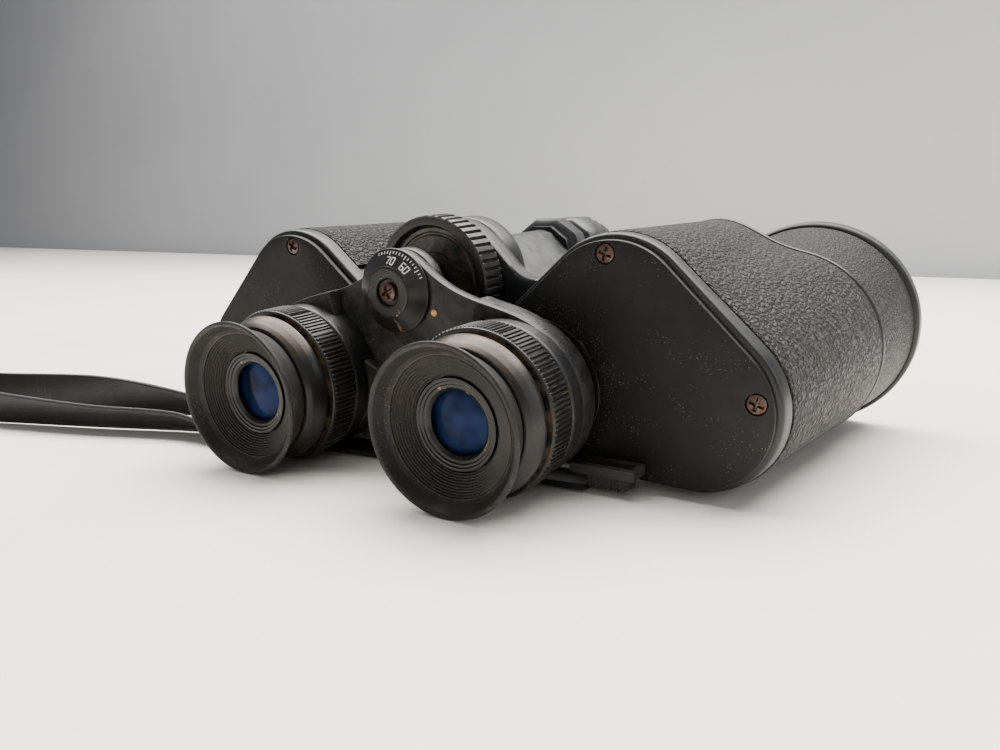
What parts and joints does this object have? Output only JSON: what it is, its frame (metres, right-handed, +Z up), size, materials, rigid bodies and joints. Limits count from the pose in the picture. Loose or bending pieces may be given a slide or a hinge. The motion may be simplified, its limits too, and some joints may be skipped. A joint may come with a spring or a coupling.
{
  "type": "porro prism binoculars",
  "caption": "Centre-focus Porro prism binoculars with folding centre hinge, focus wheel, dioptre ring, rubber eyecups, leatherette housings and a neck strap.",
  "frame": {"origin": "centre of the bounding box of the binoculars without the strap, on the table surface", "axes": "+Y from the eyepieces towards the objectives, +Z up, +X to the right half as seen by the user; the optical axes rise 5.5 degrees from rear to front in +Y because the part rests on eyecups and objective rings"},
  "size_m": [0.3205, 0.2222, 0.0638],
  "materials": {
    "body": "satin",
    "plate": "satin",
    "leatherette": "pebbled",
    "anodised": "black anodised",
    "rubber": "matte",
    "steel": "tarnished",
    "lens": "blue coated",
    "prism": "clear",
    "dot": "paint",
    "vinyl": "satin vinyl"
  },
  "bodies": {
    "right_half": {"right_prism_housing": "body", "right_housing_covering": "leatherette", "right_rear_cover": "plate", "right_front_cover": "body", "right_upper_cover_screw": "steel", "right_outer_cover_screw": "steel", "right_rear_prism": "prism", "right_front_prism": "prism", "right_objective_barrel": "body", "right_barrel_covering": "leatherette", "right_objective_ring": "body", "right_objective_retainer": "anodised", "right_objective_lens": "lens", "right_guide_tube": "anodised", "right_strap_lug": "body", "hinge_axle": "steel", "hinge_end_cap": "anodised", "strap_left_run": "vinyl", "strap_right_run": "vinyl", "strap_roll": "vinyl"},
    "left_half": {"left_prism_housing": "body", "left_housing_covering": "leatherette", "left_rear_cover": "plate", "left_front_cover": "body", "left_upper_cover_screw": "steel", "left_outer_cover_screw": "steel", "left_rear_prism": "prism", "left_front_prism": "prism", "left_objective_barrel": "body", "left_barrel_covering": "leatherette", "left_objective_ring": "body", "left_objective_retainer": "anodised", "left_objective_lens": "lens", "left_guide_tube": "anodised", "left_strap_lug": "body"},
    "focus_wheel": {"focus_wheel": "anodised"},
    "right_bridge": {"right_bridge_arm": "body", "right_eyepiece_tube": "anodised", "index_dot": "dot"},
    "left_bridge": {"left_bridge_arm": "body", "left_eyepiece_tube": "anodised", "left_eyepiece_ring": "anodised", "focus_shaft": "anodised", "scale_cap": "anodised", "scale_cap_screw": "steel", "left_ocular_barrel": "anodised", "left_eyecup": "rubber", "left_eye_lens_retainer": "anodised", "left_eye_lens": "lens", "left_field_lens": "prism"},
    "dioptre_ring": {"right_dioptre_ring": "anodised"},
    "right_ocular": {"right_ocular_barrel": "anodised", "right_eyecup": "rubber", "right_eye_lens_retainer": "anodised", "right_eye_lens": "lens", "right_field_lens": "prism"}
  },
  "joints": [
    {"name": "hinge_fold", "type": "hinge", "parent": "right_half", "child": "left_half", "pos_m": [0, -0.03898, 0.04444], "axis": [0, 0.9954, 0.0961], "range_deg": [-4.2, 51], "deforming": ["strap_left_run", "strap_right_run", "strap_roll"]},
    {"name": "focus_wheel_turn", "type": "hinge", "parent": "right_half", "child": "focus_wheel", "pos_m": [0, -0.03898, 0.04444], "axis": [0, 0.9954, 0.0961], "range_deg": [-151, 151]},
    {"name": "right_bridge_slide", "type": "slide", "parent": "right_half", "child": "right_bridge", "axis": [0, 0.9954, 0.0961], "range_m": [-0.0045, 0.0045], "deforming": ["strap_left_run", "strap_right_run", "strap_roll"]},
    {"name": "left_bridge_slide", "type": "slide", "parent": "left_half", "child": "left_bridge", "axis": [0, 0.9954, 0.0961], "range_m": [-0.0046, 0.0046]},
    {"name": "dioptre_turn", "type": "hinge", "parent": "right_bridge", "child": "dioptre_ring", "pos_m": [0.029, -0.03679, 0.02175], "axis": [0, 0.9954, 0.0961], "range_deg": [-40.5, 40.5]},
    {"name": "right_ocular_slide", "type": "slide", "parent": "right_bridge", "child": "right_ocular", "axis": [0, 0.9954, 0.0961], "range_m": [-0.0009, 0.0009]}
  ],
  "couplings": [
    {"joint": "focus_wheel_turn", "follows": "right_bridge_slide", "rad_per_m": 581.78},
    {"joint": "left_bridge_slide", "follows": "right_bridge_slide", "ratio": 1},
    {"joint": "dioptre_turn", "follows": "right_ocular_slide", "rad_per_m": 775.7}
  ]
}
